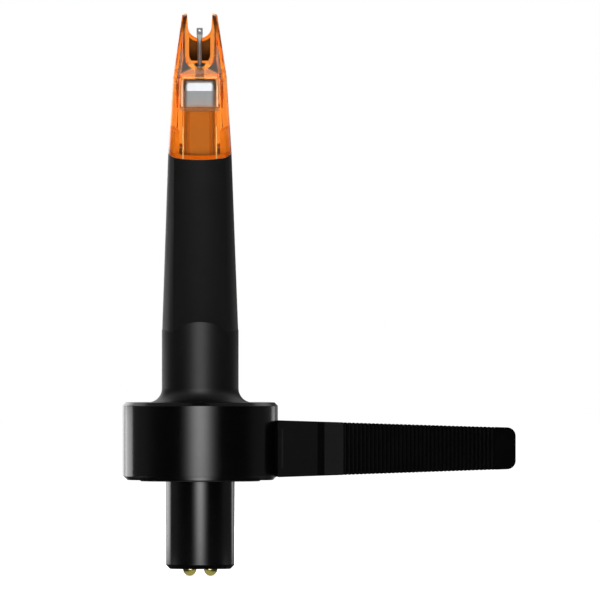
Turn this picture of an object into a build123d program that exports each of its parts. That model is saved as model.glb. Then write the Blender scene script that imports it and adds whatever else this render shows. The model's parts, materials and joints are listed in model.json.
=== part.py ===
from build123d import *
from collections import namedtuple
import math
import os

# Turntable stylus cartridge: plug, collar, finger lift, drooping nose and a slide-off stylus.
# All sizes are in millimetres. The origin is the middle of the collar's rear face, on the plug's axis.
# +Z runs along that axis towards the stylus, +X towards the finger lift and -Y towards the record.
# The nose droops, so the nose, generator and stylus are drawn in a frame of their own, the nose frame:
# x across, v away from the record, and w along the drooping axis from the neck's end.

# Fits
press_gap = 0.01
slide_gap = 0.05

# Plug
plug_dia = 8.0
plug_wall = 0.8
plug_reach = 10.3
plug_insert = 6.0
plug_chamfer = 0.5

# Bayonet locating pin, on the side away from the record
locating_dia = 1.9
locating_shank_dia = 1.2
locating_back = 5.2
locating_stand = 1.2
locating_sink = 0.1
locating_chamfer = 0.15

# Contacts in the plug's end
contact_pitch = 2.42
contact_dia = 1.55
contact_stand = 0.79
contact_tail_dia = 0.8
contact_tail = 1.3
carrier_thick = 2.6
carrier_recess = 0.2

# Rubber washer let into the collar's rear face
washer_dia = 13.9
washer_thick = 1.0
washer_stand = 0.15
washer_round = 0.12

# Collar and neck
collar_dia = 18.0
collar_len = 9.0
collar_chamfer = 0.4
neck_dia = 8.9
neck_len = 8.4
neck_fillet = 1.6
neck_wall = 1.35

# Nose
droop = 20.0
nose_len = 22.27
nose_step = 0.02
nose_overlap = 1.6
root_top_half = 2.4
belly_depth = 3.87
tunnel_dia = 3.6

# Stylus holder, beyond the nose
holder_len = 16.24
holder_shoulder = 9.2
window_side = 0.26
window_front = 0.17
window_len = 3.21
window_round = 0.28
window_depth = 2.3
window_lip = 0.3
pocket_half = 1.22
pocket_wall = 1.65
pocket_roof = 1.3
mouth_flare = 0.66
mouth_depth = 0.8
notch_half = 1.36
notch_flare = 0.17
notch_depth = 2.82
slot_inner = 2.28
slot_outer = 2.99
slot_len = 3.2
slot_height = 1.9
groove_half = 1.2
groove_width = 0.16
groove_depth = 0.12

# Generator: shield can, poles, coils and terminals, on an axis of its own below the nose's axis
generator_drop = 1.2
can_width = 3.76
can_height = 3.9
can_edge = 0.55
can_corner = 0.6
can_wall = 0.2
can_front_wall = 0.8
can_sunk = 11.3
can_stand = 9.33
can_bevel = 1.13
can_bevel_round = 0.35
can_bevel_recess = 0.12
can_mouth_gap = 0.1
pole_offset = 0.85
pole_dia = 0.6
pole_stop = 1.0
coil_outer = 1.56
coil_len = 6.7
spool_wall = 0.13
flange_thick = 0.6
former_back = 2.5
plate_thick = 1.0
terminal_dia = 0.5
terminal_tail = 2.5
terminal_inside = 0.8
wire_dia = 0.45
wire_straight = 6.0
wire_mid = 9.0
wire_arc_share = 0.45

# Stylus assembly
ferrule_dia = 1.5
ferrule_wall = 0.2
ferrule_len = 4.4
ferrule_front = 1.4
pivot_back = 0.3
anchor_len = 0.6
suspension_dia = 0.12
magnet_dia = 0.76
magnet_wall = 0.18
magnet_len = 1.4
magnet_gap = 0.3
damper_dia = 0.28
damper_gap = 0.02
cantilever_dia = 0.5
cantilever_wall = 0.08
cantilever_reach = 6.16
paddle_width = 0.7
paddle_thick = 0.18
paddle_len = 0.75
paddle_taper = 1.0
paddle_edge = 0.06
paddle_round_slack = 0.005
tip_dia = 0.27
tip_stand = 0.89
tip_cone = 0.25
tip_flat = 0.04
tip_from_end = 0.33

# Finger lift: smooth root, a small step, a smooth land, ribs and a smooth end
lift_thick = 1.3
lift_level = 0.2
lift_centre = 3.62
lift_root_half = 3.32
lift_end_half = 2.40
lift_corner = 1.0
lift_tab = 3.6
lift_tab_width = 4.6
lift_tab_thick = 0.9
root_len = 4.6
root_rise = 10.5
step_len = 0.8
step_rise = 24.0
land_len = 2.2
land_rise = 4.0
rib_count = 38
rib_pitch = 0.464
rib_height = 0.12
rib_crest = 0.3
rib_edge = 0.05
rib_rise_start = 12.0
rib_rise_end = 22.0
end_len = 2.4
end_rise = 23.0

# Places worked out from the sizes
neck_end = collar_len + neck_len
sin_d = math.sin(math.radians(droop))
cos_d = math.cos(math.radians(droop))
nose_frame = Plane(origin=(0, 0, neck_end), x_dir=(1, 0, 0), z_dir=(0, -sin_d, cos_d)).location
axis_v = -generator_drop
can_rear = nose_len - can_sunk
can_front = nose_len + can_stand
holder_end = nose_len + holder_len
ferrule_end = can_front + ferrule_front
ferrule_rear = ferrule_end - ferrule_len
pivot_w = can_front - pivot_back
can_floor = axis_v - can_height / 2
bevel_y = can_floor * cos_d - (can_front - can_bevel) * sin_d
holder_floor = can_bevel_recess - bevel_y
plug_bore = plug_dia - 2 * plug_wall
neck_bore = neck_dia - 2 * neck_wall
ferrule_bore = ferrule_dia - 2 * ferrule_wall
magnet_bore = magnet_dia - 2 * magnet_wall
cantilever_bore = cantilever_dia - 2 * cantilever_wall
root_half = neck_dia / 2 - nose_step
root_crown = neck_dia / 2 * cos_d
root_top = root_crown * math.sqrt(1 - (root_top_half / root_half) ** 2)
quadrants = [(-1, 1), (1, 1), (1, -1), (-1, -1)]

# How far cutting tools reach past a face, and a length that reaches past the whole object
past = 1.0
beyond = 3 * (plug_reach + neck_end + holder_end)

BASE = (Align.CENTER, Align.CENTER, Align.MIN)

# One cross-section of the nose or the stylus holder, in the nose frame:
# where it is along w, then the lowest level, the lower corners, the widest place, the upper corners
# and the crown between them.
Section = namedtuple("Section", "along belly corner_half corner side_half side top_half top crown")
nose_root = Section(
    along=-nose_overlap, belly=-belly_depth, corner_half=3.16, corner=-3.04,
    side_half=root_half, side=0.5, top_half=root_top_half, top=root_top, crown=root_crown,
)
nose_joint = Section(
    along=nose_len, belly=-belly_depth, corner_half=2.95, corner=-3.13,
    side_half=3.66, side=-0.87, top_half=1.9, top=2.19, crown=2.7,
)
holder_mid = Section(
    along=nose_len + holder_shoulder, belly=-belly_depth, corner_half=2.3, corner=-3.45,
    side_half=3.08, side=-1.7, top_half=1.8, top=1.5, crown=1.9,
)
holder_tip = Section(
    along=holder_end, belly=-0.6, corner_half=1.5, corner=-0.45,
    side_half=2.04, side=0.25, top_half=1.6, top=0.9, crown=1.1,
)


def closed_face(*edges):
    """Flat face inside a closed run of edges."""
    return make_face(edges)


def to_row(x, v, w):
    """A point of the nose frame in the part's own frame."""
    return Vector(x, v * cos_d - w * sin_d, neck_end + w * cos_d + v * sin_d)


def in_nose(shape):
    """Places a shape drawn in the nose frame."""
    return nose_frame * shape


def rod(dia, start, end, x=0.0, y=0.0):
    """Round bar along Z between two levels."""
    return Pos(x, y, start) * Cylinder(dia / 2, end - start, align=BASE)


def tube(outer, inner, start, end, x=0.0, y=0.0):
    """Round tube along Z between two levels."""
    return rod(outer, start, end, x, y) - rod(inner, start, end, x, y)


def block(x_range, y_range, z_range):
    """Box between three pairs of limits."""
    ranges = (x_range, y_range, z_range)
    middle = [(low + high) / 2 for low, high in ranges]
    return Pos(*middle) * Box(*[high - low for low, high in ranges])


def upright(outline):
    """A flat outline drawn in x and z, as a cutter that runs right through along Y."""
    return extrude(Plane.XZ * outline, beyond, both=True)


def section_face(s):
    """The closed outline of one section, at its place along the nose."""
    lower_right, lower_left = (s.corner_half, s.corner), (-s.corner_half, s.corner)
    upper_right, upper_left = (s.top_half, s.top), (-s.top_half, s.top)
    belly = ThreePointArc(lower_left, (0, s.belly), lower_right)
    right = ThreePointArc(lower_right, (s.side_half, s.side), upper_right)
    top = ThreePointArc(upper_right, (0, s.crown), upper_left)
    left = ThreePointArc(upper_left, (-s.side_half, s.side), lower_left)
    return Pos(0, 0, s.along) * closed_face(belly, right, top, left)


def nose_loft(sections):
    """Straight-sided body through the sections."""
    return loft([section_face(s) for s in sections], ruled=True)


def housing():
    """Collar, neck and nose in one moulding, hollow for the plug, the wires and the generator."""
    radius, neck = collar_dia / 2, neck_dia / 2
    belly_out = (neck - belly_depth * cos_d) / sin_d
    tongue_end = neck_end + belly_out * cos_d - belly_depth * sin_d + nose_step
    outline = closed_face(
        Polyline(
            (neck, collar_len + neck_fillet), (neck, tongue_end), (0, tongue_end), (0, 0),
            (radius - collar_chamfer, 0), (radius, collar_chamfer),
            (radius, collar_len - collar_chamfer), (radius - collar_chamfer, collar_len),
            (neck + neck_fillet, collar_len),
        ),
        CenterArc((neck + neck_fillet, collar_len + neck_fillet), neck_fillet, 180, 90),
    )
    turned = revolve(Plane.XZ * outline, Axis.Z)

    # The neck's round surface runs on in a short tongue until the belly comes out of it
    ahead = block((-radius, radius), (-radius, radius), (neck_end, tongue_end + neck))
    tongue = block((-nose_root.corner_half, nose_root.corner_half), (-radius, 0), (0, tongue_end + neck))
    body = turned - (ahead - tongue)
    nose = in_nose(nose_loft([nose_root, nose_joint]))
    body += nose - block((-radius, radius), (0, radius), (0, neck_end))

    body -= rod(washer_dia + 2 * press_gap, -past, washer_thick - washer_stand)
    body -= rod(plug_dia + 2 * press_gap, -past, plug_insert)
    body -= rod(neck_bore, 0, neck_end - nose_step)
    body -= in_nose(Pos(0, axis_v, 0) * rod(tunnel_dia, -nose_overlap, can_rear + past))
    body -= in_nose(can_block(can_rear - press_gap, nose_len + past, press_gap))
    body -= lift_tab_block(press_gap)
    return body


def can_block(start, end, gap=0.0):
    """The shield can's outside, or a hole for it with a gap all round."""
    width, height = can_width + 2 * gap, can_height + 2 * gap
    outline = RectangleRounded(width, height, can_edge)
    return Pos(0, axis_v, start) * extrude(outline, end - start)


def connector_plug():
    """Barrel with a chamfered end, and a stepped hole for the locating pin."""
    barrel = rod(plug_dia, -plug_reach, plug_insert - press_gap)
    barrel = chamfer(barrel.edges().group_by(Axis.Z)[0], plug_chamfer)
    barrel -= rod(plug_bore, -plug_reach - past, plug_insert + past)
    seat = plug_dia / 2 - locating_sink
    barrel -= standing_pin(locating_shank_dia + 2 * press_gap, 0, seat + past)
    barrel -= standing_pin(locating_dia + 2 * press_gap, seat, seat + locating_dia)
    return barrel


def standing_pin(dia, low, high):
    """Round bar along +Y at the locating pin's place."""
    return Pos(0, 0, -locating_back) * Rot(-90, 0, 0) * rod(dia, low, high)


def locating_pin():
    """Stepped pin: the shank fills the barrel's wall, the head stands on its spot face."""
    seat = plug_dia / 2 - locating_sink
    head = standing_pin(locating_dia, seat, plug_dia / 2 + locating_stand)
    head = chamfer(head.edges().group_by(Axis.Y)[-1], locating_chamfer)
    return head + standing_pin(locating_shank_dia, plug_bore / 2, seat)


def contact_places():
    """Where the four contacts stand, in the same order as the terminals."""
    return [(sx * contact_pitch / 2, sy * contact_pitch / 2) for sx, sy in quadrants]


def carrier_levels():
    """The insulating disc's rear and front faces."""
    rear = -plug_reach + carrier_recess
    return rear, rear + carrier_thick


def contact_carrier():
    """Insulating disc in the plug's end, with a hole for each contact."""
    rear, front = carrier_levels()
    disc = rod(plug_bore - 2 * press_gap, rear, front)
    for x, y in contact_places():
        disc -= rod(contact_dia + 2 * press_gap, rear - past, front + past, x, y)
    return disc


def contact_pin(x, y):
    """Domed contact with a thinner tail for its wire."""
    front = carrier_levels()[1]
    dome = -plug_reach - contact_stand + contact_dia / 2
    pin = rod(contact_dia, dome, front, x, y) + Pos(x, y, dome) * Sphere(contact_dia / 2)
    return pin + rod(contact_tail_dia, front, front + contact_tail, x, y)


def seal_washer():
    """Rubber ring that stands a little proud of the collar."""
    ring = rod(washer_dia, -washer_stand, washer_thick - washer_stand)
    ring = fillet(ring.edges().group_by(Axis.Z)[0], washer_round)
    return ring - rod(plug_dia + 2 * slide_gap, -past, washer_thick + past)


def lift_tab_block(gap=0.0):
    """The tab that goes into the collar, or the slot for it with a gap all round."""
    root = collar_dia / 2
    half_width, half_thick = lift_tab_width / 2 + gap, lift_tab_thick / 2 + gap
    return block(
        (root - lift_tab - gap, root + lift_thick / 2),
        (lift_level - half_thick, lift_level + half_thick),
        (lift_centre - half_width, lift_centre + half_width),
    )


def rise(length, degrees):
    """How much a straight slope climbs over a length."""
    return length * math.tan(math.radians(degrees))


def rib_floor(x_from_ribs):
    """Climb of the ribbed stretch, which curves upwards, at a distance from its start."""
    ribs_len = rib_count * rib_pitch
    first, last = math.tan(math.radians(rib_rise_start)), math.tan(math.radians(rib_rise_end))
    return first * x_from_ribs + (last - first) * x_from_ribs**2 / (2 * ribs_len)


def rib_teeth(height):
    """Corners of the ribs as (distance along the ribs, height), one flat crest to each rib."""
    flank = rib_pitch * (1 - rib_crest) / 2
    teeth = []
    for i in range(rib_count):
        start = i * rib_pitch
        teeth += [(start, 0.0), (start + flank, height), (start + rib_pitch - flank, height)]
    return teeth + [(rib_count * rib_pitch, 0.0)]


def finger_lift():
    """Rising blade, ribbed across its record side and along its edges."""
    x_root = collar_dia / 2 - lift_thick / 2
    x_step = collar_dia / 2 + root_len
    x_land = x_step + step_len
    x_ribs = x_land + land_len
    x_end = x_ribs + rib_count * rib_pitch
    x_tip = x_end + end_len

    y_root = lift_level - lift_thick / 2
    y_step = y_root + rise(x_step - x_root, root_rise)
    y_land = y_step + rise(step_len, step_rise)
    y_ribs = y_land + rise(land_len, land_rise)
    y_end = y_ribs + rib_floor(x_end - x_ribs)
    y_tip = y_end + rise(end_len, end_rise)

    under = [(x_root, y_root), (x_step, y_step), (x_land, y_land)]
    under += [(x_ribs + d, y_ribs + rib_floor(d) - h) for d, h in rib_teeth(rib_height)]
    under += [(x_tip, y_tip), (x_tip, y_tip + lift_thick), (x_end, y_end + lift_thick)]
    half_ribs = (x_end - x_ribs) / 2
    middle = (x_ribs + half_ribs, y_ribs + rib_floor(half_ribs) + lift_thick)
    side = closed_face(
        Polyline(*under),
        ThreePointArc((x_end, y_end + lift_thick), middle, (x_ribs, y_ribs + lift_thick)),
        Polyline((x_ribs, y_ribs + lift_thick), (x_root, y_root + lift_thick), (x_root, y_root)),
    )
    blade = Pos(0, 0, lift_centre) * extrude(side, 2 * lift_root_half, both=True)

    def half_at(x):
        share = (x - x_root) / (x_tip - x_root)
        return lift_root_half + (lift_end_half - lift_root_half) * share

    teeth = [(x_ribs + d, half_at(x_ribs + d) - rib_edge + h) for d, h in rib_teeth(rib_edge)]
    edge = [(x_root, half_at(x_root)), (x_ribs, half_at(x_ribs))] + teeth
    edge += [(x_end, half_at(x_end)), (x_tip, half_at(x_tip))]
    outline = closed_face(Polyline(*edge, *[(x, -z) for x, z in reversed(edge)], close=True))
    outline = fillet(outline.vertices().group_by(Axis.X)[-1], lift_corner)
    blade &= Pos(0, 0, lift_centre) * upright(outline)
    blade -= rod(collar_dia + 2 * press_gap, -past, collar_len + past)
    return blade + lift_tab_block()


def quadrant_places(offset):
    """Four places round the generator's axis, in the nose frame."""
    return [(sx * offset, axis_v + sv * offset) for sx, sv in quadrants]


def can_bevel_block():
    """What lies above the can's bevel and behind its front, with rounded edges between them."""
    front = (bevel_y + can_front * sin_d) / cos_d
    corner = to_row(0, front, can_front)
    above = to_row(0, front + can_height, can_front)
    profile = closed_face(Polyline(
        (bevel_y, corner.Z - beyond), (bevel_y, corner.Z), (above.Y, above.Z),
        (above.Y + beyond, above.Z), (above.Y + beyond, corner.Z - beyond), close=True,
    ))
    at_corner = profile.vertices().sort_by_distance((bevel_y, corner.Z, 0))[0]
    side = extrude(Plane.YZ * fillet(at_corner, can_bevel_round), can_width, both=True)
    outline = Pos(0, bevel_y + beyond / 2) * RectangleRounded(can_width, beyond, can_edge)
    return side & Pos(0, 0, -beyond / 2) * extrude(outline, beyond)


def shield_can():
    """Drawn metal box, open at the rear, with rounded front corners and a bevel over the record."""
    can = can_block(can_rear, can_front)
    plan = Pos(0, can_front - beyond / 2) * RectangleRounded(can_width, beyond, can_corner)
    can &= upright(plan)
    inside = RectangleRounded(can_width - 2 * can_wall, can_height - 2 * can_wall, can_edge - can_wall / 2)
    can -= Pos(0, axis_v, can_rear - past) * extrude(inside, can_front - can_front_wall - can_rear + past)
    can -= rod(ferrule_dia + 2 * can_mouth_gap, can_rear, can_front + past, 0, axis_v)
    return in_nose(can) & can_bevel_block()


def terminal_plate():
    """Insulating plate that closes the can's rear."""
    gap = 2 * (can_wall + press_gap)
    outline = RectangleRounded(can_width - gap, can_height - gap, can_edge - can_wall / 2)
    plate = Pos(0, axis_v, can_rear) * extrude(outline, plate_thick)
    for x, v in quadrant_places(pole_offset):
        plate -= rod(terminal_dia + 2 * press_gap, can_rear - past, can_rear + plate_thick + past, x, v)
    return in_nose(plate)


def terminal_pin(x, v):
    """Straight pin through the terminal plate."""
    inner_end = can_rear + plate_thick + terminal_inside
    return in_nose(rod(terminal_dia, can_rear - terminal_tail, inner_end, x, v))


def former_levels():
    """Rear face of the coil former, start and end of the coils, front face of the former."""
    rear = can_rear + former_back
    start = rear + flange_thick
    end = start + coil_len
    return rear, start, end, end + flange_thick


def spool_dia():
    """Outside of the spool that carries a coil."""
    return pole_dia + 2 * (press_gap + spool_wall)


def coil_former():
    """Two flanges joined by four hollow spools."""
    rear, start, end, front = former_levels()
    gap = 2 * (can_wall + press_gap)
    outline = RectangleRounded(can_width - gap, can_height - gap, can_edge - can_wall / 2)
    former = Pos(0, axis_v, rear) * extrude(outline, flange_thick)
    former += Pos(0, axis_v, end) * extrude(outline, flange_thick)
    for x, v in quadrant_places(pole_offset):
        former += rod(spool_dia(), start, end, x, v)
    for x, v in quadrant_places(pole_offset):
        former -= rod(pole_dia + 2 * press_gap, rear - past, front + past, x, v)
    return in_nose(former)


def coil(x, v):
    """Winding between the flanges."""
    start, end = former_levels()[1:3]
    return in_nose(tube(coil_outer, spool_dia() + 2 * press_gap, start + press_gap, end - press_gap, x, v))


def pole_pin(x, v):
    """Soft iron pole through a coil, up to the magnet."""
    return in_nose(rod(pole_dia, former_levels()[0], can_front - can_front_wall - pole_stop, x, v))


def lead_wire(terminal, contact):
    """Insulated wire from a terminal's tail to a contact's tail, straight runs with wide arcs between."""
    x, v = terminal
    w = can_rear - terminal_tail
    points = [
        to_row(x, v, w),
        to_row(x, v, w - wire_straight),
        Vector(*contact, wire_mid),
        Vector(*contact, carrier_levels()[1] + contact_tail),
    ]
    runs = [b - a for a, b in zip(points, points[1:])]
    radii = []
    for before, after in zip(runs, runs[1:]):
        half_turn = math.radians(before.get_angle(after)) / 2
        radii.append(wire_arc_share * min(before.length, after.length) / math.tan(half_turn))
    path = FilletPolyline(*points, radius=radii)
    return sweep(Plane(origin=path @ 0, z_dir=path % 0) * Circle(wire_dia / 2), path=path)


def pocket_plan(half, rear, front):
    """Outline of the pocket round the cantilever: straight sides and a round rear end."""
    return closed_face(
        Polyline((-half, rear + half), (-half, front), (half, front), (half, rear + half)),
        ThreePointArc((half, rear + half), (0, rear), (-half, rear + half)),
    )


def window_plan(end, lip=0.0):
    """Outline of the window, grown by its lip at the sides and the front."""
    half = can_width / 2 + window_side + lip
    rear, front = end - window_len, end + lip
    outline = closed_face(Polyline((-half, rear), (half, rear), (half, front), (-half, front), close=True))
    return fillet(outline.vertices().group_by(Axis.Y)[-1], window_round + lip)


def stylus_holder():
    """Clear grip that slides over the can: window below it, pocket and two prongs at the cantilever."""
    holder = in_nose(nose_loft([nose_joint, holder_mid, holder_tip]))
    holder -= block((-beyond, beyond), (-beyond, -holder_floor), (0, beyond))

    # Socket for the can, with two shallow grooves along its floor
    socket = can_block(nose_len - past, can_front + slide_gap, slide_gap)
    floor = can_floor - slide_gap
    for side in (-1, 1):
        x = side * groove_half
        groove = ((x - groove_width / 2, x + groove_width / 2), (floor - groove_depth, axis_v))
        socket += block(*groove, (nose_len - past, can_front))
    holder -= in_nose(socket)

    # Moulded slots beside the socket, open at the rear face
    middle = nose_joint.side - slot_height / 2
    for side in (-1, 1):
        x_range = sorted((side * slot_inner, side * slot_outer))
        v_range = (middle - slot_height / 2, middle + slot_height / 2)
        holder -= in_nose(block(x_range, v_range, (nose_len - past, nose_len + slot_len)))

    # Window over the can's bevelled front, cut from the record side
    bevel_end = (bevel_y + can_front * sin_d) / cos_d
    window_end = to_row(0, bevel_end, can_front).Z + window_front
    low = block((-beyond, beyond), (-beyond, window_depth - holder_floor), (0, beyond))
    opening = window_plan(window_end)
    holder -= upright(opening) & low
    holder -= loft([
        Plane.XZ.offset(holder_floor) * window_plan(window_end, window_lip),
        Plane.XZ.offset(holder_floor - window_lip) * opening,
    ], ruled=True)

    # Pocket round the cantilever with a flared mouth, under a roof that follows the nose
    rear = window_end + pocket_wall
    front = to_row(0, holder_tip.top, holder_end).Z + past
    under_roof = in_nose(block((-beyond, beyond), (-beyond, axis_v + pocket_roof), (-beyond, beyond)))
    holder -= upright(pocket_plan(pocket_half, rear, front)) & under_roof
    wide = pocket_plan(pocket_half + mouth_flare, rear - mouth_flare, front)
    narrow = pocket_plan(pocket_half, rear, front)
    mouth = loft([
        Plane.XZ.offset(holder_floor) * wide,
        Plane.XZ.offset(holder_floor - mouth_depth) * narrow,
    ], ruled=True)
    holder -= mouth

    # Notch between the prongs, right through
    tip_z = to_row(0, holder_tip.top, holder_end).Z
    centre = tip_z - notch_depth + notch_half
    wide_half = notch_half + notch_flare
    holder -= upright(closed_face(
        Polyline((-notch_half, centre), (-wide_half, front), (wide_half, front), (notch_half, centre)),
        ThreePointArc((notch_half, centre), (0, centre - notch_half), (-notch_half, centre)),
    ))

    holder -= in_nose(rod(ferrule_dia + 2 * press_gap, can_front, ferrule_end + past, 0, axis_v))
    return holder


def ferrule():
    """Thin tube through the holder's wall into the can's mouth."""
    return in_nose(tube(ferrule_dia, ferrule_bore, ferrule_rear, ferrule_end, 0, axis_v))


def wire_anchor():
    """Plug in the ferrule's rear end that grips the suspension wire."""
    bore = suspension_dia + 2 * press_gap
    return in_nose(tube(
        ferrule_bore - 2 * press_gap, bore, ferrule_rear, ferrule_rear + anchor_len, 0, axis_v))


def suspension_wire():
    """Fine wire from the anchor to the pivot."""
    return in_nose(rod(suspension_dia, ferrule_rear, pivot_w, 0, axis_v))


def damper():
    """Rubber ring round the cantilever at its pivot."""
    ring = Torus(cantilever_dia / 2 + damper_gap + damper_dia / 2, damper_dia / 2)
    return in_nose(Pos(0, axis_v, pivot_w) * ring)


def magnet():
    """Tube magnet on the cantilever's rear end."""
    front = pivot_w - magnet_gap
    return in_nose(tube(magnet_dia, magnet_bore, front - magnet_len, front, 0, axis_v))


def cantilever():
    """Thin tube, pressed flat at its front end, with a hole for the tip."""
    start = pivot_w - magnet_gap
    end = pivot_w + cantilever_reach
    flat = end - paddle_len
    neck = flat - paddle_taper
    round_outline = Circle(cantilever_dia / 2)
    shaft = Pos(0, axis_v, start) * extrude(round_outline, neck - start)
    almost_round = RectangleRounded(cantilever_dia, cantilever_dia, cantilever_dia / 2 - paddle_round_slack)
    paddle_outline = RectangleRounded(paddle_width, paddle_thick, paddle_edge)
    shaft += loft([Pos(0, axis_v, neck) * almost_round, Pos(0, axis_v, flat) * paddle_outline], ruled=True)
    shaft += Pos(0, axis_v, flat) * extrude(paddle_outline, paddle_len)
    shaft -= rod(cantilever_bore, start - past, neck - cantilever_dia, 0, axis_v)
    return in_nose(shaft) - tip_shank(tip_dia + 2 * press_gap)


def tip_place():
    """Where the tip's axis crosses the paddle."""
    return to_row(0, axis_v, pivot_w + cantilever_reach - tip_from_end)


def tip_shank(dia):
    """Round bar along Y through the paddle at the tip's place."""
    place = tip_place()
    length = paddle_thick + tip_stand - tip_cone
    top = Pos(place.X, place.Y + paddle_thick, place.Z) * Rot(90, 0, 0)
    return top * Cylinder(dia / 2, length, align=BASE)


def diamond_tip():
    """Ground tip: a round shank with a cone that ends in a small flat."""
    place = tip_place()
    cone = Pos(place.X, place.Y - tip_stand + tip_cone, place.Z) * Rot(90, 0, 0)
    return tip_shank(tip_dia) + cone * Cone(tip_dia / 2, tip_flat / 2, tip_cone, align=BASE)


def build():
    """Every piece by name."""
    pieces = {
        "housing": housing(),
        "connector_plug": connector_plug(),
        "locating_pin": locating_pin(),
        "contact_carrier": contact_carrier(),
        "seal_washer": seal_washer(),
        "finger_lift": finger_lift(),
        "shield_can": shield_can(),
        "terminal_plate": terminal_plate(),
        "coil_former": coil_former(),
        "stylus_holder": stylus_holder(),
        "ferrule": ferrule(),
        "wire_anchor": wire_anchor(),
        "suspension_wire": suspension_wire(),
        "damper": damper(),
        "cantilever": cantilever(),
        "magnet": magnet(),
        "diamond_tip": diamond_tip(),
    }
    colours = ("white", "red", "green", "blue")
    places = zip(quadrant_places(pole_offset), contact_places(), colours)
    for number, (inner, contact, colour) in enumerate(places, start=1):
        pieces[f"contact_pin_{number}"] = contact_pin(*contact)
        pieces[f"terminal_pin_{number}"] = terminal_pin(*inner)
        pieces[f"coil_{number}"] = coil(*inner)
        pieces[f"pole_pin_{number}"] = pole_pin(*inner)
        pieces[f"lead_wire_{colour}"] = lead_wire(inner, contact)
    return pieces


os.makedirs("parts", exist_ok=True)
for name, piece in build().items():
    export_step(piece, f"parts/{name}.step")
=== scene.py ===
import json
import math

import bpy
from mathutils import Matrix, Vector


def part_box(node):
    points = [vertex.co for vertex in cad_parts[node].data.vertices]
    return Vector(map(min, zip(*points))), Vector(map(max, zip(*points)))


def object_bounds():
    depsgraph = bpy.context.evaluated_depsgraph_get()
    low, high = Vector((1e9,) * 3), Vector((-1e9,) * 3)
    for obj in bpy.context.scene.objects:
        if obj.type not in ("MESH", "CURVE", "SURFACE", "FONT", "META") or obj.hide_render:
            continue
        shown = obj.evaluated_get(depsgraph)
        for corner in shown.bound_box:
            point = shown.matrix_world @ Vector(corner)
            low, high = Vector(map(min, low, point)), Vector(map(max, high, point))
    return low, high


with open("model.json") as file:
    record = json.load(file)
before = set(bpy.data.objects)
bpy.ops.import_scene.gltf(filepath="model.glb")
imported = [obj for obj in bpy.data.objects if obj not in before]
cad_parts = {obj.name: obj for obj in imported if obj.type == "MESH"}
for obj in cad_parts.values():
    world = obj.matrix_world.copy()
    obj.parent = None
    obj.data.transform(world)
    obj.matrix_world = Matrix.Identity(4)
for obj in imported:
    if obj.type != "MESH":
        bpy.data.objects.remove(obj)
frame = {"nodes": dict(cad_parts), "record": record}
cad_low, cad_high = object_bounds()
nodes = frame["nodes"]
joints = {row["name"]: row for row in frame["record"]["behaviour"]["joints"]}
MM = 0.001

# The photograph's frame: image size in pixels, scale, and the pixel where the part's origin falls
IMAGE_WIDTH, IMAGE_HEIGHT = 600, 596
PIXELS_PER_MM = 8.63
ORIGIN_PIXEL = (200.2, 480.0)
CAMERA_DISTANCE = 2.5
SENSOR_WIDTH = 36.0

# Directions of the drooping nose, from the joints: the stylus's pull and the cantilever's swing
PULL_AXIS = Vector(joints["stylus_pull"]["axis"])
SWING_AXIS = Vector(joints["cantilever_sideways"]["axis"])
X_AXIS, Y_AXIS, Z_AXIS = (1, 0, 0), (0, 1, 0), (0, 0, 1)

# Places on the housing and the stylus, in the part's frame
COLLAR_FRONT = 9.0 * MM
PIVOT_ABOVE = SWING_AXIS.dot(Vector(joints["cantilever_sideways"]["pos_m"]))
HOLDER_REAR = min(PULL_AXIS.dot(vertex.co) for vertex in nodes["stylus_holder"].data.vertices)
HOLDER_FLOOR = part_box("stylus_holder")[0].y
HOLDER_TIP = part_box("stylus_holder")[1].z
POCKET_REAR = max(PULL_AXIS.dot(vertex.co) for vertex in nodes["ferrule"].data.vertices)

# Details of the node trees: width of a patch's soft border, limits that a noise mostly keeps to,
# its detail, samples of a rounded edge, exponent of a bell curve, places of a colour mix's sockets
SOFT = 0.05 * MM
NOISE_LIMITS = (0.3, 0.7)
NOISE_DETAIL = 3.0
ROUNDING_SAMPLES = 8
BELL_EXPONENT = -0.5
MIX_FIRST, MIX_SECOND, MIX_RESULT = 6, 7, 2

# Materials: grain, patches, relief and rounding are in millimetres throughout

# Black plastics: two shades that wander, size of their patches, roughness of the polished ones,
# and what a satin finish adds to it
BLACK_DARK, BLACK_LIGHT = (0.0003, 0.0003, 0.0004, 1), (0.0008, 0.0008, 0.0009, 1)
BLACK_PATCH = 3.0
POLISHED = (0.14, 0.17)
SATIN_MORE = 0.30
# Name, roughness, specular level, grain, relief, rounding, and roughness added beyond the collar
BLACKS = [
    ("black_satin", POLISHED, 0.25, 0.06, 0.0002, 0.08, SATIN_MORE),
    ("black_barrel", POLISHED, 0.32, 0.08, 0.0002, 0.06, 0.0),
    ("black_grip", (0.38, 0.44), 0.04, 0.06, 0.0008, 0.03, 0.0),
    ("insulator", (0.40, 0.50), 0.25, 0.06, 0.0010, 0.05, 0.0),
    ("rubber", (0.55, 0.70), 0.20, 0.10, 0.0030, 0.05, 0.0),
]

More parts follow.
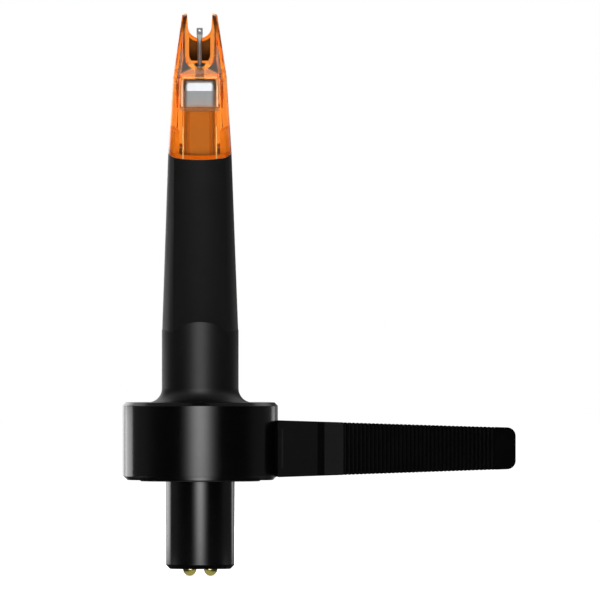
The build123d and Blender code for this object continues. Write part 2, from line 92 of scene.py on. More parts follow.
# Bare metals: name, dark and light shade, roughness, grain and its stretch
METAL_RELIEF, METAL_ROUNDING = 0.0001, 0.03
EVEN = (1, 1, 1)
METALS = [
    ("gold", (0.70, 0.61, 0.16, 1), (0.82, 0.73, 0.22, 1), (0.10, 0.16), 0.2, EVEN),
    ("steel", (0.52, 0.52, 0.53, 1), (0.66, 0.66, 0.67, 1), (0.18, 0.28), 0.2, EVEN),
    ("tinned", (0.62, 0.62, 0.60, 1), (0.78, 0.78, 0.76, 1), (0.20, 0.35), 0.15, EVEN),
    ("copper", (0.52, 0.20, 0.08, 1), (0.70, 0.32, 0.15, 1), (0.30, 0.40), 0.08, (0.1, 0.1, 1)),
    ("iron", (0.34, 0.34, 0.35, 1), (0.46, 0.46, 0.47, 1), (0.30, 0.42), 0.15, EVEN),
    ("aluminium", (0.19, 0.19, 0.19, 1), (0.27, 0.27, 0.27, 1), (0.50, 0.60), 0.06, (1, 1, 0.1)),
    ("brass", (0.62, 0.44, 0.17, 1), (0.75, 0.56, 0.26, 1), (0.25, 0.35), 0.15, EVEN),
    ("magnet", (0.46, 0.46, 0.48, 1), (0.60, 0.60, 0.62, 1), (0.18, 0.26), 0.15, EVEN),
]

# Coloured plastics: name, dark and light shade, roughness
PLASTIC_GRAIN, PLASTIC_RELIEF = 0.3, 0.002
WIRE_ROUGH = (0.35, 0.45)
PLASTICS = [
    ("board", (0.38, 0.28, 0.14, 1), (0.50, 0.38, 0.21, 1), (0.45, 0.60)),
    ("nylon", (0.72, 0.71, 0.65, 1), (0.82, 0.81, 0.76, 1), (0.40, 0.50)),
    ("wire_white", (0.75, 0.75, 0.72, 1), (0.86, 0.86, 0.84, 1), WIRE_ROUGH),
    ("wire_red", (0.45, 0.02, 0.02, 1), (0.62, 0.04, 0.03, 1), WIRE_ROUGH),
    ("wire_green", (0.02, 0.24, 0.05, 1), (0.05, 0.36, 0.09, 1), WIRE_ROUGH),
    ("wire_blue", (0.02, 0.07, 0.38, 1), (0.05, 0.12, 0.55, 1), WIRE_ROUGH),
]

# Diamond tip
DIAMOND_COLOUR = (0.97, 0.98, 1.0, 1)
DIAMOND_GRAIN = 0.08
DIAMOND_ROUGH = (0.05, 0.15)
DIAMOND_SHARE, DIAMOND_INDEX = 0.25, 2.4

# Shield can: tones in the window, painted shade of rounded edges at its sides and top there, and
# its tone under the plastic
CAN_DARK, CAN_LIGHT = (0.33, 0.34, 0.35, 1), (0.40, 0.41, 0.42, 1)
CAN_SIDE_SHADE, CAN_EDGE_SHADE = (0.42, 0.38, 0.34, 1), (0.14, 0.13, 0.125, 1)
CAN_EDGE_FADE = (44.7 * MM, 45.3 * MM)
CAN_COVERED = (0.50, 0.49, 0.48, 1)
CAN_WINDOW = (42.9 * MM, 43.1 * MM)
CAN_HALF, CAN_TOP = 1.64 * MM, 45.86 * MM
CAN_ROUND, CAN_SOFT = 0.48 * MM, 0.08 * MM
CAN_DEPTHS = (1.3 * MM, 1.0 * MM)
CAN_GRAIN, CAN_STRETCH = 0.4, (1, 1, 0.15)
CAN_ROUGH = (0.54, 0.60)
CAN_RELIEF = 0.00002

# Clear plastic of the stylus holder: surface and depth
CLEAR_REAR_TINT, CLEAR_FRONT_TINT = (1.0, 0.41, 0.070, 1), (0.86, 0.215, 0.016, 1)
CLEAR_FADE = (46.0 * MM, 50.0 * MM)
CLEAR_SHARE = 0.96
CLEAR_INDEX = 1.38
CLEAR_MIRROR = (0.28, 0.28, 0.28, 1)
CLEAR_ROUGH, FLAT_ROUGH = (0.02, 0.05), 0.4
CLEAR_GRAIN, CLEAR_RELIEF, CLEAR_ROUNDING = 1.5, 0.002, 0.06
DEPTH_TINT = (1.0, 0.5, 0.1, 1)
DEPTH_DENSITY = 150.0

# Its rear end: rim, rear face, and painted light on the side slots
RIM_WIDTH = 0.55 * MM
RIM_TINT, RIM_CLOUD = (0.54, 0.09, 0.002, 1), 0.85
REAR_TINT, REAR_CLOUD = (1.0, 0.70, 0.35, 1), 0.0
SLOT_MIDDLE, SLOT_REACH = 2.635 * MM, 0.43 * MM
SLOT_BELOW, SLOT_HALF_HEIGHT = 0.62 * MM, 1.03 * MM
SLOT_LENGTH = 3.3 * MM
SLOT_LIGHT_TINT, SLOT_CLOUD = (1.0, 0.57, 0.14, 1), 0.9

# Its socket: walls beside the can, and the floor under it, with painted shade to its sides
SIDE_MIDDLE, SIDE_REACH = 1.93 * MM, 0.10 * MM
SIDE_DEPTH = 1.2 * MM
SIDE_TINT, SIDE_CLOUD = (1.0, 0.60, 0.20, 1), 0.4
SOCKET_BELOW, SOCKET_REACH = 2.0 * MM, 0.07 * MM
SOCKET_HALF = 1.98 * MM
SOCKET_TINT, SOCKET_SIDE_SHADE = (1.0, 0.68, 0.42, 1), (0.42, 0.25, 0.14, 1)
SOCKET_SHADE = (0.95 * MM, 1.75 * MM)
SOCKET_CLOUD = 0.0

# Its pocket: mouth, and painted shade on the roof over the cantilever, darkest at the rear and
# clear along the notch
MOUTH_HALF = 1.92 * MM
MOUTH_DEPTHS = (0.05 * MM, 0.85 * MM)
MOUTH_TINT, MOUTH_CLOUD = (0.55, 0.25, 0.08, 1), 0.2
ROOF_ABOVE, ROOF_REACH = 1.3 * MM, 0.15 * MM
ROOF_HALF = 1.3 * MM
ROOF_REAR_SHADE, ROOF_FRONT_SHADE = (0.008, 0.003, 0.0005, 1), (0.09, 0.032, 0.006, 1)
ROOF_FADE = (48.7 * MM, 50.6 * MM)
ROOF_CLOUD = 0.9
NOTCH_HALF, NOTCH_DEPTH = 1.36 * MM, 2.82 * MM
NOTCH_CLEAR = 0.42 * MM

# Its flat floor: grey triangles beside the pocket, painted dark as shade under their gloss, whose
# outer and lower borders slope
FLOOR_REACH = 0.04 * MM
FLOOR_LEVELS = (46.9 * MM, 50.0 * MM)
FLOOR_TINT, FLOOR_CLOUD = (0.40, 0.16, 0.05, 1), 0.35
FLAT_CORNER = (2.19 * MM, 46.98 * MM)
FLAT_LEAN, FLAT_RISE = 0.165, 0.45
FLAT_SOFT = 0.12 * MM
FLAT_FADE = (49.6 * MM, 48.6 * MM)
FLAT_SHADE_TINT, FLAT_CLOUD = (0.048, 0.042, 0.038, 1), 0.98

# Its prongs: painted shade in cores that lean outwards from the tips, and painted light on the
# ends
CORE_ACROSS, CORE_REACH = 1.63 * MM, 0.32 * MM
CORE_LEAN = 0.16
CORE_FADE = (3.8 * MM, 0.9 * MM)
CORE_DEPTH = 0.9 * MM
CORE_SHADE_TINT, CORE_CLOUD = (0.03, 0.009, 0.002, 1), 0.75
TIP_FADE = (0.3 * MM, 0.12 * MM)
TIP_LIGHT_TINT, TIP_CLOUD = (0.75, 0.42, 0.22, 1), 0.85

# Its window over the can: painted light on the lip and on the ledge behind it, band at the rear,
# and dark lines
LIP_HALF = 2.46 * MM
LIP_LEVELS = (43.05 * MM, 46.9 * MM)
LIP_DEPTHS = (0.02 * MM, 0.36 * MM)
LIP_LIGHT_TINT, LIP_CLOUD = (1.0, 0.50, 0.14, 1), 0.4
LIP_FRONT_LIGHT_TINT = (1.0, 0.72, 0.42, 1)
LIP_FRONT = (46.45 * MM, 46.6 * MM)
LEDGE_DEPTH, LEDGE_REACH = 2.3 * MM, 0.1 * MM
LEDGE_LIGHT_TINT, LEDGE_CLOUD = (1.0, 0.92, 0.78, 1), 0.95
BAND_LEVELS = (42.6 * MM, 43.0 * MM)
BAND_HALF = 2.3 * MM
BAND_TINT, BAND_CLOUD = (0.52, 0.24, 0.10, 1), 0.3
LINE_ACROSS, LINE_LEVEL, LINE_REACH = 2.15 * MM, 43.06 * MM, 0.05 * MM
LINE_TINT, LINE_CLOUD = (0.22, 0.07, 0.012, 1), 0.5

# Studio: floor, world and lamps
FLOOR_SIZE = 6.0
FLOOR_GAP = 0.05 * MM
FLOOR_COLOUR = (0.85, 0.85, 0.85, 1)
FLOOR_GLOW = 0.79
WORLD_LIGHT = 0.3
WHITE = (1, 1, 1, 1)
STRIP_DISTANCE = 0.55
STRIP_WIDTH, STRIP_HEIGHT = 0.60, 0.32
STRIP_SPREAD = 0.105
FRONT_TURN, FRONT_RADIANCE = 0.0, 12.0
BACK_TURN, BACK_RADIANCE = math.radians(200), 2.0
TOP_HEIGHT, TOP_SIZE = 0.7, 0.8
TOP_RADIANCE = 1.2
EDGE_DISTANCE = 0.13
EDGE_HEIGHT = 0.020
# Edge lamps: name, turn from the front, width, radiance
EDGE_LAMPS = [
    ("left_edge", math.radians(-131), 0.062, 2.6),
    ("right_edge", math.radians(137), 0.031, 1.15),
]
# Power that gives an area lamp one unit of radiance on each unit of area
POWER_SHARE = 4

# Screens that only reflections see
SCREEN_RADIUS = 0.9
SCREEN_HEIGHT = 0.9
SCREEN_SEGMENTS = 64
WALL_DARKEST = math.radians(10)
WALL_TURN = 0.5
WALL_GLOW_FRONT, WALL_GLOW_SIDE = 0.03, 0.20
WALL_FOOT = (0.02, 0.12)
WALL_FOOT_SHARE, WALL_MIDDLE_SHARE = 1.5, 0.5
WALL_RISE = (0.34, 0.60)
WALL_GLOW_HIGH = 1.1
LID_GLOW = 0.3
CARD_NEAR, CARD_FAR = 0.025, 0.055
CARD_GLOW_NEAR, CARD_GLOW_FAR = 0.04, 0.24
CARD_FADE = (0.10, 0.20)
CARD_FADED = 0.08
SPOT_INNER, SPOT_OUTER = 2.6 * MM, 3.6 * MM
SPOT_GLOW = 0.35
# Streaks on the card: turn from the front, to both sides, then start, end and glow
STREAKS = [
    (0.0, 0.004, 0.014, 8.0),
    (0.0, 0.12, 0.8, 6.0),
    (math.radians(90), 0.016, 0.030, 3.0),
    (math.radians(90), 0.20, 0.8, 0.35),
    (math.pi, 0.03, 0.8, 6.0),
]
STREAK_SPREAD = math.radians(11)
STREAK_FADE = 1.6


# Node trees

class Nodes:
    """A node tree under construction, where plain values and results of other nodes mix freely."""

    def __init__(self, owner, output_kind):
        owner.use_nodes = True
        self.tree = owner.node_tree
        self.tree.nodes.clear()
        self.output = self.tree.nodes.new(output_kind)

    def fill(self, socket, value):
        """Links a socket to a result, or sets a plain value on it."""
        if hasattr(value, "is_output"):
            self.tree.links.new(value, socket)
        else:
            socket.default_value = value

    def node(self, kind, *values, **settings):
        """A new node, with its settings and its inputs in their order."""
        item = self.tree.nodes.new(kind)
        for name, setting in settings.items():
            setattr(item, name, setting)
        for socket, value in zip(item.inputs, values):
            self.fill(socket, value)
        return item

    def result(self, kind, *values, **settings):
        """The first output of a new node."""
        return self.node(kind, *values, **settings).outputs[0]

    def math(self, operation, *values):
        """Result of a sum or function of plain numbers."""
        return self.result("ShaderNodeMath", *values, operation=operation)

    def times(self, *values):
        """Product of two or more values."""
        product = values[0]
        for value in values[1:]:
            product = self.math("MULTIPLY", product, value)
        return product

    def add(self, *values):
        """Sum of two or more values."""
        total = values[0]
        for value in values[1:]:
            total = self.math("ADD", total, value)
        return total

    def minus(self, first, second):
        """First value less the second."""
        return self.math("SUBTRACT", first, second)

    def larger(self, first, second):
        """Larger of two values."""
        return self.math("MAXIMUM", first, second)

    def size(self, value):
        """A value without its sign."""
        return self.math("ABSOLUTE", value)

    def length(self, *values):
        """Distance that two values at right angles make together."""
        return self.math("SQRT", self.add(*[self.times(value, value) for value in values]))

    def bell(self, across):
        """Soft fall to both sides of a line."""
        return self.math("POWER", math.e, self.times(across, across, BELL_EXPONENT))

    def ramp(self, value, start, end, low=0.0, high=1.0):
        """Straight change from one level to another between two places."""
        return self.result("ShaderNodeMapRange", value, start, end, low, high)

    def step(self, value, start, end):
        """Soft change from 0 at the start to 1 at the end, which may be the lower of the two."""
        low, high = (0.0, 1.0) if start < end else (1.0, 0.0)
        places = (min(start, end), max(start, end))
        return self.result(
            "ShaderNodeMapRange", value, *places, low, high, interpolation_type="SMOOTHSTEP")

    def over(self, value, place):
        """1 over a place, 0 under it."""
        return self.step(value, place, place + SOFT)

    def under(self, value, place):
        """1 under a place, 0 over it."""
        return self.step(value, place, place - SOFT)

    def within(self, value, middle, reach):
        """1 within a reach of a place, 0 outside it."""
        return self.under(self.size(self.minus(value, middle)), reach)

    def between(self, value, low, high):
        """1 between two places, 0 outside them."""
        return self.times(self.over(value, low), self.under(value, high))

    def mix(self, first, second, share):
        """Colour between two colours."""
        item = self.node("ShaderNodeMix", share, data_type="RGBA")
        self.fill(item.inputs[MIX_FIRST], first)
        self.fill(item.inputs[MIX_SECOND], second)
        return item.outputs[MIX_RESULT]

    def coordinates(self):
        """Place in the part's frame."""
        return self.node("ShaderNodeTexCoord").outputs["Object"]

    def along(self, axis):
        """Distance along a direction, from the part's origin."""
        item = self.node(
            "ShaderNodeVectorMath", self.coordinates(), axis, operation="DOT_PRODUCT")
        return item.outputs["Value"]

    def seen(self):
        """1 for rays from the camera, from glossy surfaces and through clear ones, else 0."""
        path = self.node("ShaderNodeLightPath").outputs
        eye = self.larger(path["Is Camera Ray"], path["Is Glossy Ray"])
        return self.larger(eye, path["Is Transmission Ray"])

    def surface(self, shader):
        """Links a shader to the surface of the tree's output."""
        self.fill(self.output.inputs["Surface"], shader)


class Finish(Nodes):
    """Material of a piece, with one physically based shader."""

    def __init__(self, name):
        self.material = bpy.data.materials.new(name)
        super().__init__(self.material, "ShaderNodeOutputMaterial")
        self.bsdf = self.node("ShaderNodeBsdfPrincipled")
        self.surface(self.bsdf.outputs[0])

    def set(self, **values):
        """Fills the shader's inputs, named with underscores for spaces."""
        for name, value in values.items():
            self.fill(self.bsdf.inputs[name.replace("_", " ")], value)

    def noise(self, grain_mm, stretch=EVEN):
        """Noise whose grain has a real size."""
        scale = [share / (grain_mm * MM) for share in stretch]
        place = self.result(
            "ShaderNodeVectorMath", self.coordinates(), scale, operation="MULTIPLY")
        item = self.node("ShaderNodeTexNoise")
        self.fill(item.inputs["Vector"], place)
        self.fill(item.inputs["Scale"], 1.0)
        self.fill(item.inputs["Detail"], NOISE_DETAIL)
        return item.outputs[0]

    def wander(self, noise, low, high):
        """Number that drifts between two limits with a noise."""
        return self.ramp(noise, *NOISE_LIMITS, low, high)

    def relief(self, height, height_mm, rounding_mm=0.0):
        """Surface relief of a real height, on edges rounded by a small radius."""
        item = self.node("ShaderNodeBump")
        self.fill(item.inputs["Distance"], height_mm * MM)
        self.fill(item.inputs["Height"], height)
        if rounding_mm:
            rounded = self.node("ShaderNodeBevel", rounding_mm * MM, samples=ROUNDING_SAMPLES)
            self.fill(item.inputs["Normal"], rounded.outputs[0])
        self.set(Normal=item.outputs[0])


# Materials of the pieces

def black_plastic(name, roughness, specular, grain_mm, relief_mm, rounding_mm, beyond_collar):
    """Black moulded plastic with a fine grain, rougher beyond the collar where that is asked."""
    finish = Finish(name)
    patches = finish.noise(BLACK_PATCH)
    rough = finish.wander(patches, *roughness)
    if beyond_collar:
        satin = finish.step(finish.along(Z_AXIS), COLLAR_FRONT - SOFT, COLLAR_FRONT + SOFT)
        rough = finish.add(rough, finish.times(satin, beyond_collar))
    finish.set(
        Base_Color=finish.mix(BLACK_DARK, BLACK_LIGHT, patches),
        Roughness=rough,
        Specular_IOR_Level=specular,
    )
    finish.relief(finish.noise(grain_mm), relief_mm, rounding_mm)
    return finish.material


def metal(name, dark, light, roughness, grain_mm, stretch):
    """Bare metal with a drawn or turned grain."""
    finish = Finish(name)
    grain = finish.noise(grain_mm, stretch)
    finish.set(
        Base_Color=finish.mix(dark, light, grain),
        Roughness=finish.wander(grain, *roughness),
        Metallic=1.0,
    )
    finish.relief(grain, METAL_RELIEF, METAL_ROUNDING)
    return finish.material


def plain_plastic(name, dark, light, roughness):
    """Coloured plastic with slight variation."""
    finish = Finish(name)
    grain = finish.noise(PLASTIC_GRAIN)
    finish.set(
        Base_Color=finish.mix(dark, light, grain),
        Roughness=finish.wander(grain, *roughness),
    )
    finish.relief(grain, PLASTIC_RELIEF)
    return finish.material


def diamond():
    """Polished diamond."""
    finish = Finish("diamond")
    facets = finish.noise(DIAMOND_GRAIN)
    finish.set(
        Base_Color=DIAMOND_COLOUR,
        Roughness=finish.wander(facets, *DIAMOND_ROUGH),
        Transmission_Weight=DIAMOND_SHARE,
        IOR=DIAMOND_INDEX,
    )
    return finish.material


def can_silver():
    """Pressed metal, with painted shade of rounded edges along its sides and top where they show
    in the window.
    """
    finish = Finish("silver_can")
    grain = finish.noise(CAN_GRAIN, CAN_STRETCH)
    level = finish.along(Z_AXIS)
    depth = finish.minus(finish.along(Y_AXIS), HOLDER_FLOOR)
    # Painted shade of rounded edges: a band with rounded corners along the sides and the top
    past_side = finish.minus(finish.size(finish.along(X_AXIS)), CAN_HALF - CAN_ROUND)
    past_top = finish.minus(level, CAN_TOP - CAN_ROUND)
    past = finish.length(finish.larger(past_side, 0.0), finish.larger(past_top, 0.0))
    rounded = finish.step(past, CAN_ROUND - CAN_SOFT, CAN_ROUND + CAN_SOFT)
    in_window = finish.times(finish.step(depth, *CAN_DEPTHS), finish.step(level, *CAN_WINDOW))
    border = finish.mix(CAN_SIDE_SHADE, CAN_EDGE_SHADE, finish.step(level, *CAN_EDGE_FADE))
    shown = finish.mix(finish.mix(CAN_DARK, CAN_LIGHT, grain), border, rounded)
    covered = finish.mix(CAN_LIGHT, CAN_COVERED, grain)
    finish.set(
        Base_Color=finish.mix(covered, shown, in_window),
        Roughness=finish.wander(grain, *CAN_ROUGH),
        Metallic=1.0,
    )
    finish.relief(grain, CAN_RELIEF)
    return finish.material


class ClearPlastic(Finish):
    """Clear coloured plastic, cloudy in patches of other tints, painted light and painted shade
    among them, that show through it or on it.

    A patch is its share at each place, its tint, and how cloudy it is.
    """

    def __init__(self, name):
        super().__init__(name)
        self.across = self.size(self.along(X_AXIS))
        self.level = self.along(Z_AXIS)
        self.forward = self.along(PULL_AXIS)
        self.height = self.along(SWING_AXIS)
        self.depth = self.minus(self.along(Y_AXIS), HOLDER_FLOOR)
        self.on_floor = self.step(self.depth, FLOOR_REACH, FLOOR_REACH / 2)
        self.flat = self.flat_share()

    def flat_share(self):
        """Share of the grey triangles of painted shade on the flat floor."""
        corner_across, corner_level = FLAT_CORNER
        leaning = self.times(self.minus(self.level, corner_level), FLAT_LEAN)
        rising = self.times(self.minus(self.across, corner_across), FLAT_RISE)
        outer = self.add(self.across, leaning)
        lower = self.add(self.level, rising)
        return self.times(
            self.on_floor,
            self.step(outer, corner_across + FLAT_SOFT, corner_across - FLAT_SOFT),
            self.step(lower, corner_level - FLAT_SOFT, corner_level + FLAT_SOFT),
            self.step(self.level, *FLAT_FADE),
        )

    def rear_patches(self):
        """Rim, rear face, and painted light on the side slots."""
        rim = self.under(self.forward, HOLDER_REAR + RIM_WIDTH)
        rear = self.step(self.forward, HOLDER_REAR + SOFT, HOLDER_REAR + SOFT / 2)
        slot = self.times(
            self.within(self.across, SLOT_MIDDLE, SLOT_REACH),
            self.within(self.height, PIVOT_ABOVE - SLOT_BELOW, SLOT_HALF_HEIGHT),
            self.under(self.forward, HOLDER_REAR + SLOT_LENGTH),
        )
        return [
            (rim, RIM_TINT, RIM_CLOUD),
            (rear, REAR_TINT, REAR_CLOUD),
            (slot, SLOT_LIGHT_TINT, SLOT_CLOUD),
        ]

    def socket_patches(self):
        """Walls beside the can and the socket's floor under it, with painted shade to its sides.
        """
        side = self.times(
            self.within(self.across, SIDE_MIDDLE, SIDE_REACH),
            self.under(self.forward, POCKET_REAR),
            self.over(self.depth, SIDE_DEPTH - SOFT),
        )
        socket = self.times(
            self.within(self.height, PIVOT_ABOVE - SOCKET_BELOW, SOCKET_REACH),
            self.under(self.across, SOCKET_HALF),
        )
        # Painted shade towards the sides of the socket's floor
        shade = self.step(self.across, *SOCKET_SHADE)
        return [
            (side, SIDE_TINT, SIDE_CLOUD),
            (socket, self.mix(SOCKET_TINT, SOCKET_SIDE_SHADE, shade), SOCKET_CLOUD),
        ]

    def pocket_patches(self):
        """Pocket's mouth, and painted shade on its roof over the cantilever."""
        mouth = self.times(
            self.under(self.across, MOUTH_HALF),
            self.over(self.level, LIP_LEVELS[1]),
            self.between(self.depth, *MOUTH_DEPTHS),
        )
        notch_level = HOLDER_TIP - NOTCH_DEPTH + NOTCH_HALF
        from_notch = self.length(self.across, self.minus(self.level, notch_level))
        border = NOTCH_HALF + NOTCH_CLEAR
        # Painted shade on the roof, darkest at the rear and left clear along the notch
        roof = self.times(
            self.within(self.height, PIVOT_ABOVE + ROOF_ABOVE, ROOF_REACH),
            self.under(self.across, ROOF_HALF),
            self.over(self.forward, POCKET_REAR),
            self.step(from_notch, border - SOFT, border + SOFT),
        )
        roof_shade = self.mix(
            ROOF_REAR_SHADE, ROOF_FRONT_SHADE, self.step(self.level, *ROOF_FADE))
        return [(mouth, MOUTH_TINT, MOUTH_CLOUD), (roof, roof_shade, ROOF_CLOUD)]

    def floor_patches(self):
        """Flat floor, and the grey triangles of painted shade on it."""
        floor = self.times(self.on_floor, self.between(self.level, *FLOOR_LEVELS))
        return [(floor, FLOOR_TINT, FLOOR_CLOUD), (self.flat, FLAT_SHADE_TINT, FLAT_CLOUD)]

    def prong_patches(self):
        """Painted shade in the prongs' cores, and painted light on their ends."""
        leaning = self.times(self.minus(self.level, HOLDER_TIP), CORE_LEAN)
        from_core = self.size(self.minus(self.add(self.across, leaning), CORE_ACROSS))
        core = self.times(
            self.step(from_core, CORE_REACH, CORE_REACH / 2),
            self.under(self.depth, CORE_DEPTH),
            self.step(self.level, *[HOLDER_TIP - reach for reach in CORE_FADE]),
        )
        tip = self.step(self.level, *[HOLDER_TIP - reach for reach in TIP_FADE])
        return [(core, CORE_SHADE_TINT, CORE_CLOUD), (tip, TIP_LIGHT_TINT, TIP_CLOUD)]

    def window_patches(self):
        """Painted light on the window's lip and ledge, band at its rear, and dark lines along its
        borders.
        """
        along_window = self.between(self.level, *LIP_LEVELS)
        inside_lip = self.under(self.across, LIP_HALF)
        near_floor = self.under(self.depth, SIDE_DEPTH)
        lip = self.times(inside_lip, along_window, self.between(self.depth, *LIP_DEPTHS))
        lip_light = self.mix(LIP_LIGHT_TINT, LIP_FRONT_LIGHT_TINT, self.step(self.level, *LIP_FRONT))
        ledge = self.times(
            self.within(self.depth, LEDGE_DEPTH, LEDGE_REACH), inside_lip, along_window)
        band = self.times(
            self.between(self.level, *BAND_LEVELS),
            self.under(self.across, BAND_HALF),
            near_floor,
        )
        side_lines = self.times(self.within(self.across, LINE_ACROSS, LINE_REACH), along_window)
        line = self.times(
            self.larger(self.within(self.level, LINE_LEVEL, LINE_REACH), side_lines),
            self.step(self.across, LINE_ACROSS + LINE_REACH, LINE_ACROSS),
            near_floor,
        )
        return [
            (lip, lip_light, LIP_CLOUD),
            (ledge, LEDGE_LIGHT_TINT, LEDGE_CLOUD),
            (band, BAND_TINT, BAND_CLOUD),
            (line, LINE_TINT, LINE_CLOUD),
        ]

    def patches(self):
        """All patches, each laid over those before it."""
        return (
            self.rear_patches() + self.socket_patches() + self.pocket_patches()
            + self.floor_patches() + self.prong_patches() + self.window_patches()
        )


def clear_orange():
    """Clear plastic of the stylus holder, with painted light and painted shade in some of its
    patches.
    """
    finish = ClearPlastic("clear_orange")
    flow = finish.noise(CLEAR_GRAIN)
    fade = finish.step(finish.level, *CLEAR_FADE)
    tint = finish.mix(CLEAR_REAR_TINT, CLEAR_FRONT_TINT, fade)
    cloud = 0.0
    for share, patch_tint, patch_cloud in finish.patches():
        tint = finish.mix(tint, patch_tint, share)
        cloud = finish.ramp(share, 0.0, 1.0, cloud, patch_cloud)
    rough = finish.wander(flow, *CLEAR_ROUGH)
    finish.set(
        Base_Color=tint,
        Roughness=finish.ramp(finish.flat, 0.0, 1.0, rough, FLAT_ROUGH),
        Transmission_Weight=finish.ramp(cloud, 0.0, 1.0, CLEAR_SHARE, 0.0),
        Specular_Tint=CLEAR_MIRROR,
        IOR=CLEAR_INDEX,
    )
    finish.relief(flow, CLEAR_RELIEF, CLEAR_ROUNDING)
    inside = finish.result("ShaderNodeVolumeAbsorption", DEPTH_TINT, DEPTH_DENSITY)
    finish.fill(finish.output.inputs["Volume"], inside)
    return finish.material


def make_materials():
    """One material for each slot of the record."""
    materials = {name: black_plastic(name, *values) for name, *values in BLACKS}
    materials.update({name: metal(name, *values) for name, *values in METALS})
    materials.update({name: plain_plastic(name, *values) for name, *values in PLASTICS})
    materials["silver_can"] = can_silver()
    materials["clear_orange"] = clear_orange()
    materials["diamond"] = diamond()
    return materials


def dress_nodes():
    """Gives every piece the material of its slot."""
    materials = make_materials()
    for row in frame["record"]["subparts"]:
        mesh = nodes[row["node"]].data
        mesh.materials.clear()
        mesh.materials.append(materials[row["material_slot"]])


# Studio: floor, screens, lamps, world and camera

def add_object(name, data):
    """Links new data to the scene."""
    item = bpy.data.objects.new(name, data)
    bpy.context.scene.collection.objects.link(item)
    return item


def stage_tree(name):
    """A new material of the studio, with its node tree."""
    material = bpy.data.materials.new(name)
    return material, Nodes(material, "ShaderNodeOutputMaterial")


def stage_mesh(name, points, faces, material):
    """A floor, screen or glowing panel, which is no part of the object."""
    mesh = bpy.data.meshes.new(name)
    mesh.from_pydata(points, [], faces)
    mesh.materials.append(material)
    item = add_object(name, mesh)
    return item


def on_circle(radius, turn, level):
    """Point at a distance from the upright axis, turned from the front."""
    return (radius * math.sin(turn), -radius * math.cos(turn), level)


def make_world():
    """White backdrop all round, which lights the object only softly."""
    world = bpy.data.worlds.new("studio")
    bpy.context.scene.world = world
    tree = Nodes(world, "ShaderNodeOutputWorld")
    strength = tree.ramp(tree.seen(), 0.0, 1.0, WORLD_LIGHT, 1.0)
    tree.surface(tree.result("ShaderNodeBackground", WHITE, strength))


def make_floor():
    """Pale floor under the contacts, as white as the backdrop where no shadow falls."""
    half = FLOOR_SIZE / 2
    level = cad_low.z - FLOOR_GAP
    material, tree = stage_tree("floor")
    paint = tree.result("ShaderNodeBsdfDiffuse", FLOOR_COLOUR)
    glow = tree.result("ShaderNodeEmission", WHITE, tree.times(tree.seen(), FLOOR_GLOW))
    tree.surface(tree.result("ShaderNodeAddShader", paint, glow))
    corners = [
        (-half, -half, level), (half, -half, level), (half, half, level), (-half, half, level)]
    stage_mesh("floor", corners, [(0, 1, 2, 3)], material)


def ring_points(level):
    """Points of the screens' round outline at a level."""
    turns = [2 * math.pi * i / SCREEN_SEGMENTS for i in range(SCREEN_SEGMENTS)]
    return [on_circle(SCREEN_RADIUS, turn, level) for turn in turns]


def reflection_screen(name, points, faces, material):
    """A screen that only glossy surfaces see."""
    item = stage_mesh(name, points, faces, material)
    item.visible_camera = False
    item.visible_transmission = False
    item.visible_diffuse = False
    item.visible_shadow = False


def make_wall():
    """Dark screen round the object, darkest in front, lighter at its foot and high up."""
    material, tree = stage_tree("wall")
    level = tree.along(Z_AXIS)
    facing = tree.along(on_circle(1 / SCREEN_RADIUS, WALL_DARKEST, 0))
    glow = tree.ramp(facing, WALL_TURN, -WALL_TURN, WALL_GLOW_FRONT, WALL_GLOW_SIDE)
    foot = tree.ramp(level, *WALL_FOOT, WALL_FOOT_SHARE, WALL_MIDDLE_SHARE)
    high = tree.ramp(level, *WALL_RISE, 0.0, WALL_GLOW_HIGH)
    strength = tree.add(tree.times(glow, foot), high)
    tree.surface(tree.result("ShaderNodeEmission", WHITE, strength))
    points = ring_points(cad_low.z) + ring_points(cad_low.z + SCREEN_HEIGHT)
    count = SCREEN_SEGMENTS
    faces = [(i, (i + 1) % count, count + (i + 1) % count, count + i) for i in range(count)]
    reflection_screen("wall", points, faces, material)


def make_lid():
    """Dim screen overhead."""
    material, tree = stage_tree("lid")
    tree.surface(tree.result("ShaderNodeEmission", WHITE, LID_GLOW))
    points = ring_points(cad_low.z + SCREEN_HEIGHT)
    reflection_screen("lid", points, [tuple(range(SCREEN_SEGMENTS))], material)


def make_card():
    """Card on the floor that the undersides mirror: dark near and far, grey between, streaked."""
    material, tree = stage_tree("card")
    x, y = tree.along(X_AXIS), tree.along(Y_AXIS)
    distance = tree.length(x, y)
    turn = tree.size(tree.math("ARCTAN2", x, tree.times(y, -1.0)))
    ground = tree.ramp(distance, CARD_NEAR, CARD_FAR, CARD_GLOW_NEAR, CARD_GLOW_FAR)
    faded = tree.ramp(distance, *CARD_FADE, 1.0, CARD_FADED)
    spot = tree.ramp(distance, SPOT_INNER, SPOT_OUTER, SPOT_GLOW, 0.0)
    glow = tree.add(tree.times(ground, faded), spot)
    for middle, start, end, strength in STREAKS:
        fall = tree.bell(tree.math("DIVIDE", tree.minus(turn, middle), STREAK_SPREAD))
        near = tree.ramp(distance, start, start * STREAK_FADE)
        far = tree.ramp(distance, end, end * STREAK_FADE, 1.0, 0.0)
        glow = tree.add(glow, tree.times(fall, near, far, strength))
    tree.surface(tree.result("ShaderNodeEmission", WHITE, glow))
    points = ring_points(cad_low.z - FLOOR_GAP / 2)
    reflection_screen("card", points, [tuple(range(SCREEN_SEGMENTS))], material)


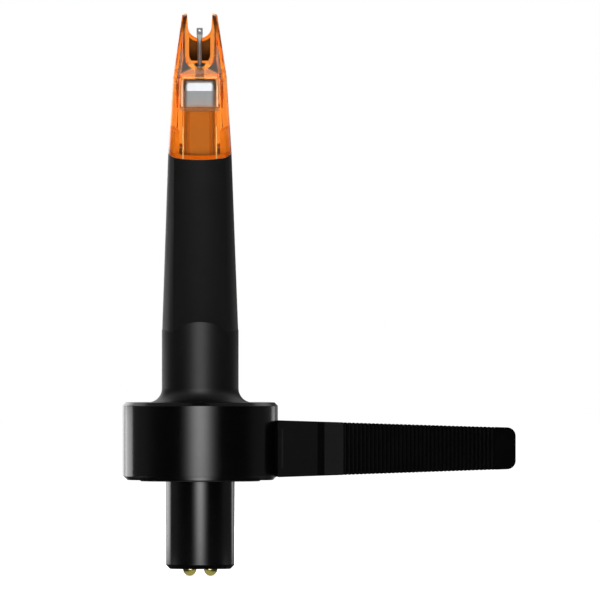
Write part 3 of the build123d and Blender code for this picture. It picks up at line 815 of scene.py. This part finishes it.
def make_strip(name, turn, radiance):
    """Tall soft panel, brightest along its middle."""
    material, tree = stage_tree(name)
    fall = tree.bell(tree.math("DIVIDE", tree.along(X_AXIS), STRIP_SPREAD))
    tree.surface(tree.result("ShaderNodeEmission", WHITE, tree.times(fall, radiance)))
    half = STRIP_WIDTH / 2
    corners = [(-half, 0, 0), (half, 0, 0), (half, 0, STRIP_HEIGHT), (-half, 0, STRIP_HEIGHT)]
    panel = stage_mesh(name, corners, [(3, 2, 1, 0)], material)
    panel.location = on_circle(STRIP_DISTANCE, turn, cad_low.z)
    panel.rotation_euler = (0, 0, turn)
    panel.visible_camera = False
    panel.visible_transmission = False


def area_lamp(name, place, target, width, height, radiance):
    """Rectangular soft lamp of a given radiance, aimed at a point."""
    lamp = bpy.data.lights.new(name, "AREA")
    lamp.shape = "RECTANGLE"
    lamp.size, lamp.size_y = width, height
    lamp.energy = radiance * POWER_SHARE * width * height
    item = add_object(name, lamp)
    item.location = place
    item.rotation_euler = (Vector(target) - item.location).to_track_quat("-Z", "Y").to_euler()
    return item


def make_lamps():
    """Soft panels in front and behind, one overhead, and low ones that edge the collar."""
    make_strip("front_strip", FRONT_TURN, FRONT_RADIANCE)
    make_strip("back_strip", BACK_TURN, BACK_RADIANCE)
    top = area_lamp("top", (0, 0, TOP_HEIGHT), (0, 0, 0), TOP_SIZE, TOP_SIZE, TOP_RADIANCE)
    top.visible_glossy = False
    level = cad_low.z + EDGE_HEIGHT / 2
    for name, turn, width, radiance in EDGE_LAMPS:
        place = on_circle(EDGE_DISTANCE, turn, level)
        lamp = area_lamp(name, place, (0, 0, level), width, EDGE_HEIGHT, radiance)
        lamp.visible_camera = False
        lamp.visible_transmission = False


def make_camera():
    """Long lens straight at the record side, framed as the photograph is."""
    centre_x = (IMAGE_WIDTH / 2 - ORIGIN_PIXEL[0]) / PIXELS_PER_MM * MM
    centre_z = (ORIGIN_PIXEL[1] - IMAGE_HEIGHT / 2) / PIXELS_PER_MM * MM
    width = IMAGE_WIDTH / PIXELS_PER_MM * MM
    camera = bpy.data.cameras.new("camera")
    camera.sensor_width = SENSOR_WIDTH
    camera.lens = SENSOR_WIDTH * CAMERA_DISTANCE / width
    item = add_object("camera", camera)
    item.location = (centre_x, -CAMERA_DISTANCE, centre_z)
    item.rotation_euler = (math.pi / 2, 0, 0)
    bpy.context.scene.camera = item


dress_nodes()
make_world()
make_floor()
make_wall()
make_lid()
make_card()
make_lamps()
make_camera()
bpy.context.scene.view_settings.view_transform = "Standard"
